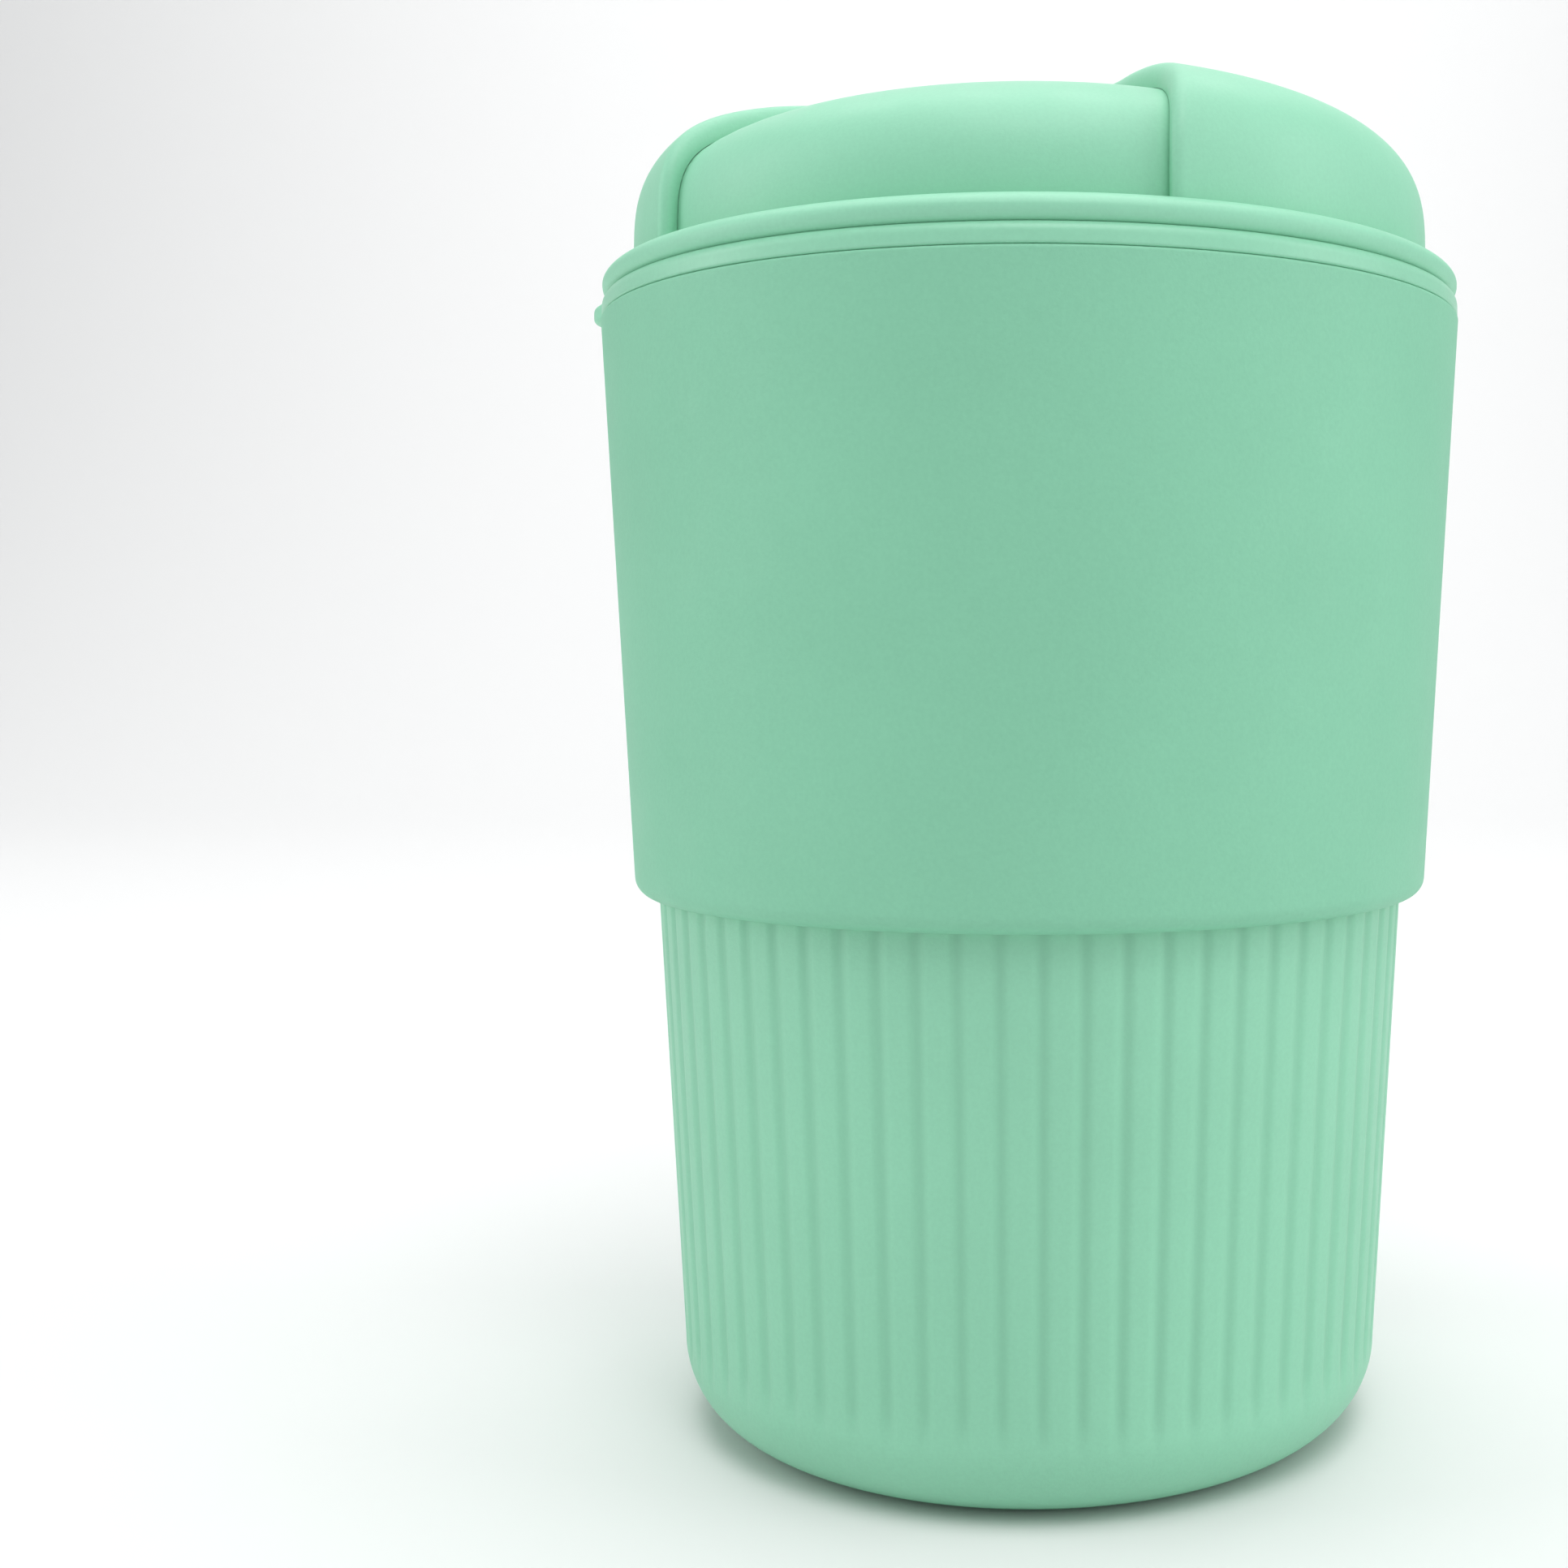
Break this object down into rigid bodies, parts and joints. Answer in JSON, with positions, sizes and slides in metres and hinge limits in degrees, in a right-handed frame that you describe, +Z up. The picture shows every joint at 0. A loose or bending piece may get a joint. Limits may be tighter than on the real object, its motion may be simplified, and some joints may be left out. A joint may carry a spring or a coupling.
{
  "type": "lidded travel cup",
  "caption": "Ribbed double-wall travel cup with a smooth upper sleeve and a press-in domed lid, whose notched hood turns to open a drinking hole.",
  "frame": {"origin": "centre of the cup's base, on the surface it stands on", "axes": "+Z up along the cup's axis; the hood's notch faces -Y when closed; the drinking hole is at +X"},
  "size_m": [0.0957, 0.0924, 0.1404],
  "materials": {
    "cup_plastic": "fine matte moulded",
    "inner_plastic": "satin moulded",
    "sleeve_plastic": "soft-touch matte with a very fine grain",
    "lid_plastic": "satin matte moulded",
    "silicone": "translucent matte"
  },
  "bodies": {
    "cup": {"outer_cup": "cup_plastic", "inner_cup": "inner_plastic", "sleeve": "sleeve_plastic"},
    "lid": {"lid_shell": "lid_plastic", "lid_gasket": "silicone", "stem_seal": "silicone"},
    "hood": {"hood": "lid_plastic", "hood_retainer": "lid_plastic", "spout_seal": "silicone"}
  },
  "joints": [
    {"name": "lid_lift", "type": "slide", "parent": "cup", "child": "lid", "axis": [0, 0, 1], "range_m": [0, 0.04]},
    {"name": "hood_turn", "type": "hinge", "parent": "lid", "child": "hood", "pos_m": [0, 0, 0.13], "axis": [0, 0, 1], "range_deg": [0, 90]}
  ]
}
